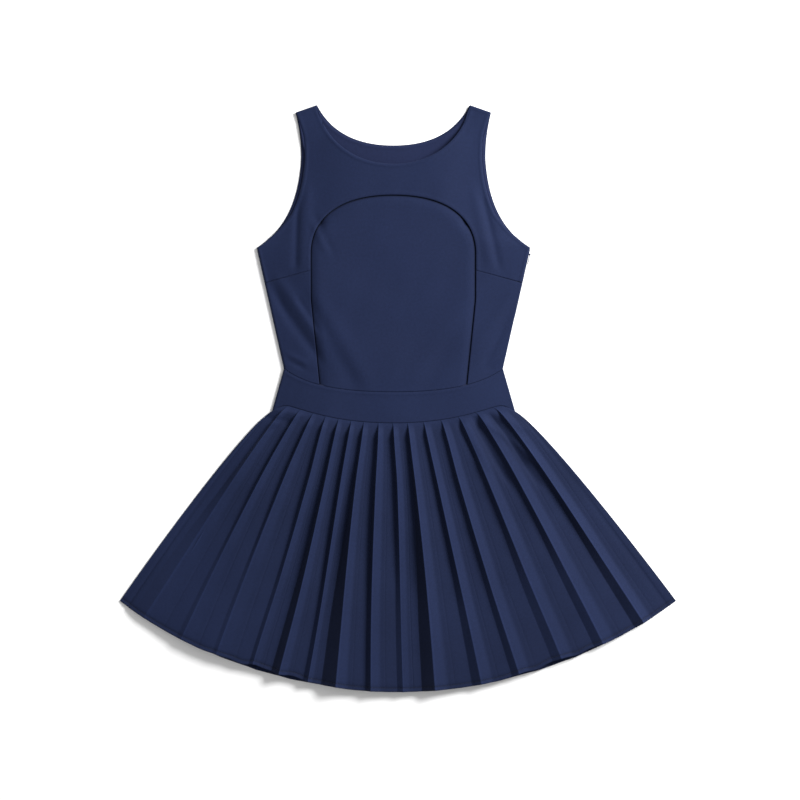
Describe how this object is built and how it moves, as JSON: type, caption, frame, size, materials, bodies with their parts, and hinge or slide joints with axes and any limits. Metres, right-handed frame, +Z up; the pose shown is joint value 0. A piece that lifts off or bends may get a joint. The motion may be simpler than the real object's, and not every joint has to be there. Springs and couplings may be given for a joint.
{
  "type": "cheer uniform",
  "caption": "Sleeveless one-piece cheer uniform laid flat: scoop-necked fitted bodice with an arched front panel, curved waistband, knife-pleated fan skirt and a concealed side zip.",
  "frame": {"origin": "middle of the flat-laid outline, on the table", "axes": "+Z up off the table through the layers of cloth, +Y to the neck, +X to the wearer's left"},
  "size_m": [0.834, 0.8782, 0.0228],
  "materials": {
    "bodice_cloth": "matte navy stretch crepe, fine close weave",
    "pleated_cloth": "the same navy crepe, heat-set in knife pleats",
    "facing_cloth": "navy crepe, wrong side",
    "interfacing": "fusible non-woven, matte",
    "woven_tape": "navy herringbone tape",
    "coil_nylon": "navy nylon coil",
    "zip_metal": "navy lacquered zinc alloy",
    "label_satin": "plain white satin, blank"
  },
  "bodies": {
    "garment": {"front_yoke": "bodice_cloth", "centre_front_panel": "bodice_cloth", "side_front_panel_left": "bodice_cloth", "side_front_panel_right": "bodice_cloth", "back_centre_panel": "bodice_cloth", "back_side_panel_left": "bodice_cloth", "back_side_panel_right": "bodice_cloth", "front_facing": "facing_cloth", "back_facing": "facing_cloth", "shoulder_stay_tape_left": "woven_tape", "shoulder_stay_tape_right": "woven_tape", "care_label": "label_satin", "waistband_front": "bodice_cloth", "waistband_back": "bodice_cloth", "waistband_interfacing_front": "interfacing", "waistband_interfacing_back": "interfacing", "waistband_facing_front": "facing_cloth", "waistband_facing_back": "facing_cloth", "skirt_front": "pleated_cloth", "skirt_back": "pleated_cloth", "zip_tape_front": "woven_tape", "zip_tape_back": "woven_tape", "zip_coil_front": "coil_nylon", "zip_coil_back": "coil_nylon", "zip_top_stop_front": "zip_metal", "zip_top_stop_back": "zip_metal", "zip_bottom_stop": "zip_metal"},
    "slider": {"zip_slider": "zip_metal"},
    "pull_tab": {"zip_pull_tab": "zip_metal"}
  },
  "joints": [
    {"name": "zip_slide", "type": "slide", "parent": "garment", "child": "slider", "axis": [-0.2221, -0.975, 0], "range_m": [0, 0.158]},
    {"name": "pull_tab_swing", "type": "hinge", "parent": "slider", "child": "pull_tab", "pos_m": [0.19747, 0.21491, 0.0044], "axis": [0, 0, 1], "range_deg": [0, 165]}
  ]
}
